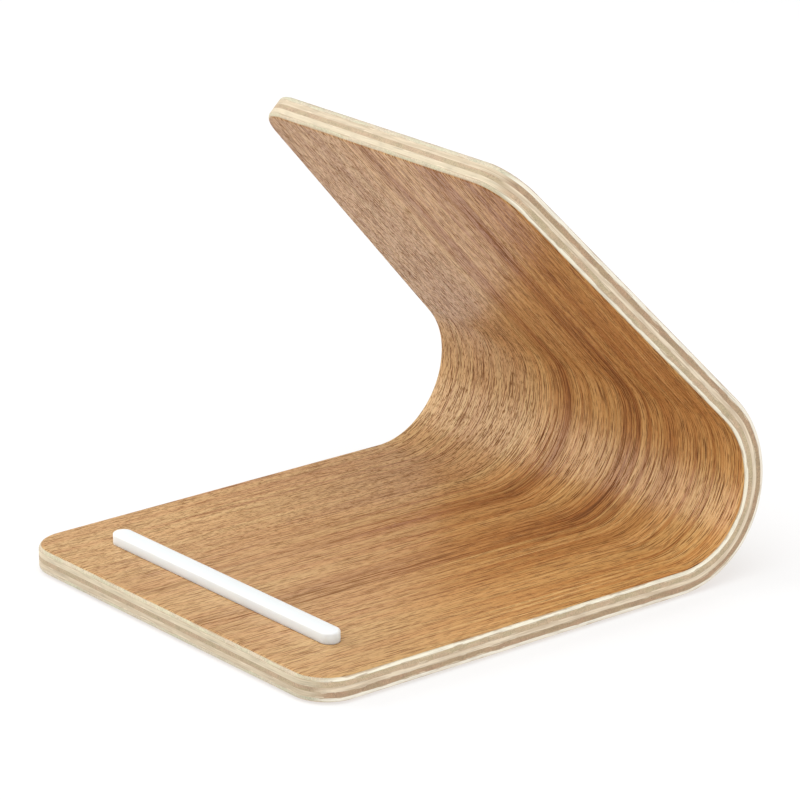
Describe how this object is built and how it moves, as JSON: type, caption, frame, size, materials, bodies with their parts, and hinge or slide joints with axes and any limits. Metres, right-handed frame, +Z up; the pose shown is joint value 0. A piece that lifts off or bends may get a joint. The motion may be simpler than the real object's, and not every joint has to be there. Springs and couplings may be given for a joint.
{
  "type": "phone stand",
  "caption": "Bent plywood stand: a flat base turns back in one round bend into a panel that leans over it; a soft bar on the base stops the device.",
  "frame": {"origin": "on the table, under the middle of the stand's bounding box", "axes": "+X across the stand, +Y from the front edge of the base towards the bend, +Z up"},
  "size_m": [0.145, 0.1676, 0.1367],
  "materials": {
    "walnut_veneer": "satin clear lacquer over open-pored brown veneer",
    "pale_ply": "sanded and sealed cut edge, grain along the strip",
    "tan_ply": "sanded and sealed cut edge, grain across the strip",
    "white_silicone": "matt, slightly translucent white silicone",
    "clear_tape": "thin double-sided tape",
    "foot_pad": "matt translucent grey soft pad"
  },
  "bodies": {
    "root": {"back_veneer": "walnut_veneer", "core_ply_1": "pale_ply", "core_ply_2": "tan_ply", "core_ply_3": "pale_ply", "core_ply_4": "tan_ply", "core_ply_5": "pale_ply", "face_veneer": "walnut_veneer", "foot_front_left": "foot_pad", "foot_front_right": "foot_pad", "foot_rear_left": "foot_pad", "foot_rear_right": "foot_pad", "stopper_bar": "white_silicone", "stopper_tape": "clear_tape"}
  },
  "joints": []
}
